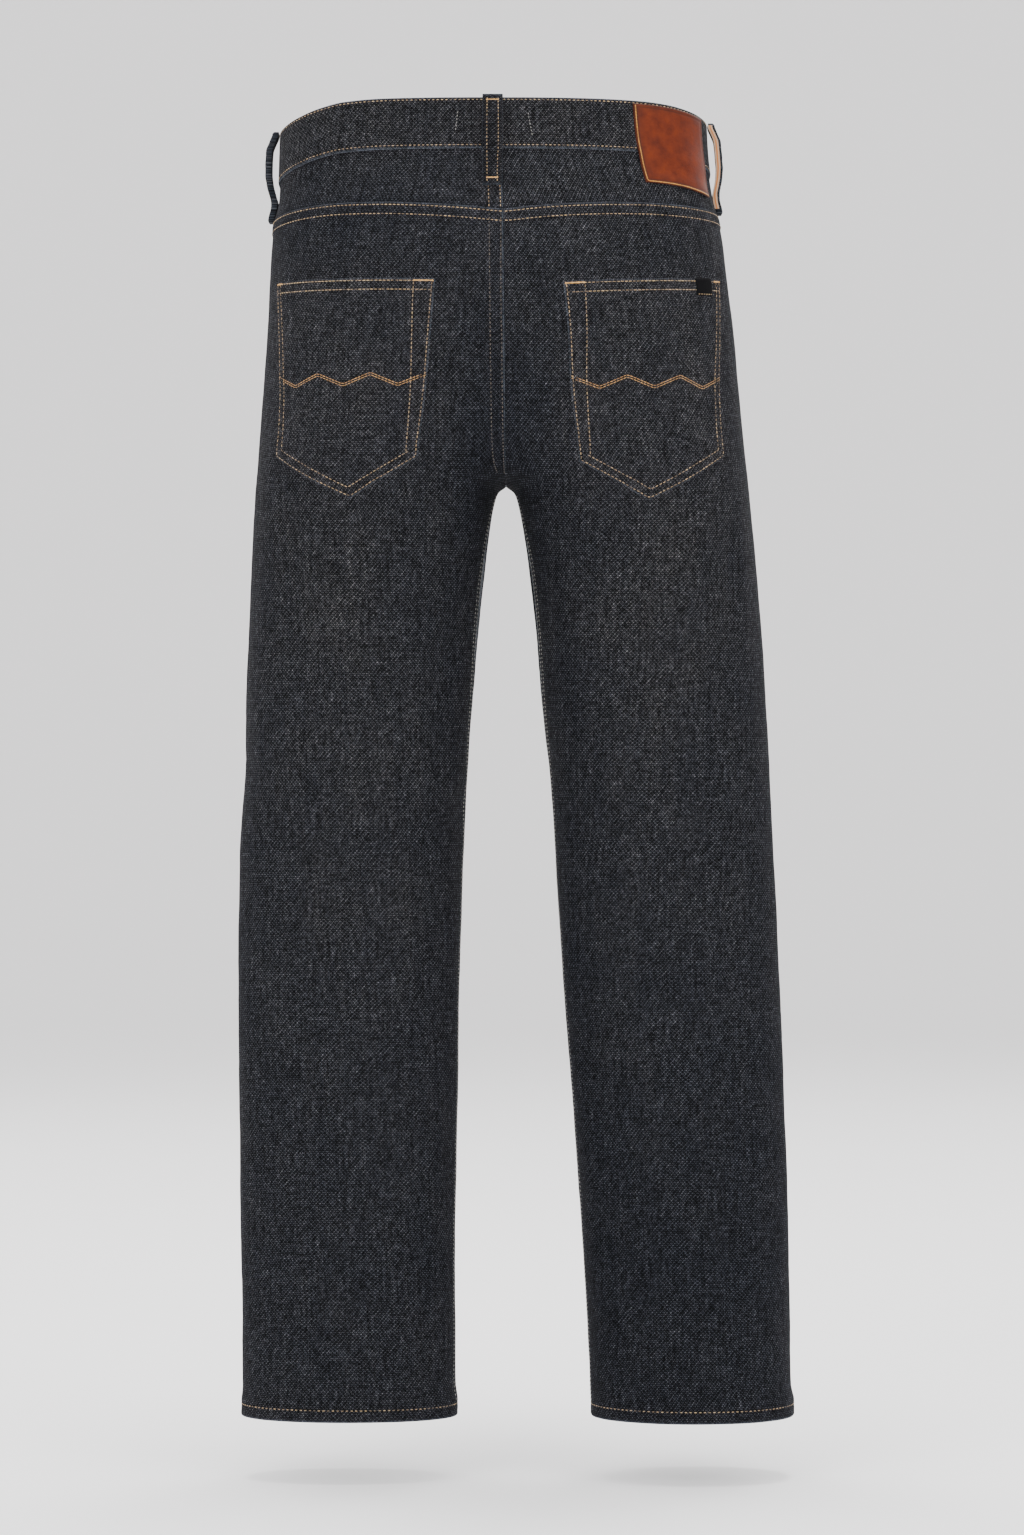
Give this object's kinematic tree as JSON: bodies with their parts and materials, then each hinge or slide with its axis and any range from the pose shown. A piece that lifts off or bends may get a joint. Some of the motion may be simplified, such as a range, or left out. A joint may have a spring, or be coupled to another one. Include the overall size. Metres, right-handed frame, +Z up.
{
  "type": "straight leg jeans",
  "caption": "Dark indigo denim jeans with straight legs, filled out as worn and empty, with patch back pockets, lapped seams, belt loops, a leather waist patch and turned hems.",
  "frame": {"origin": "centre of the waist opening, 21 mm above the lower edge of the waistband at the centre front", "axes": "+Z up along the body, -Y towards the wearer's front, +X towards the wearer's left"},
  "size_m": [0.4537, 0.2429, 1.0659],
  "materials": {
    "denim": "dark indigo right-hand twill with pale salt-and-pepper slubs, matt",
    "leather": "smooth red-brown leather, low sheen, edge stitched",
    "label_cloth": "black woven tape, fine rib",
    "zip_cloth": "navy woven zip tape with closed metal teeth",
    "brass": "aged copper-toned brass, satin",
    "thread": "tan to gold topstitching thread, slight sheen"
  },
  "bodies": {
    "root": {"back_left": "denim", "back_pocket_left": "denim", "back_pocket_right": "denim", "back_right": "denim", "fly_shield": "denim", "fly_zip": "zip_cloth", "front_left": "denim", "front_right": "denim", "loop_back": "denim", "loop_front_left": "denim", "loop_front_right": "denim", "loop_side_left": "denim", "loop_side_right": "denim", "pocket_facing_left": "denim", "pocket_facing_right": "denim", "pocket_label": "label_cloth", "waist_button": "brass", "waist_patch": "leather", "waistband": "denim", "yoke_left": "denim", "yoke_right": "denim", "zip_slider": "brass"}
  },
  "joints": []
}
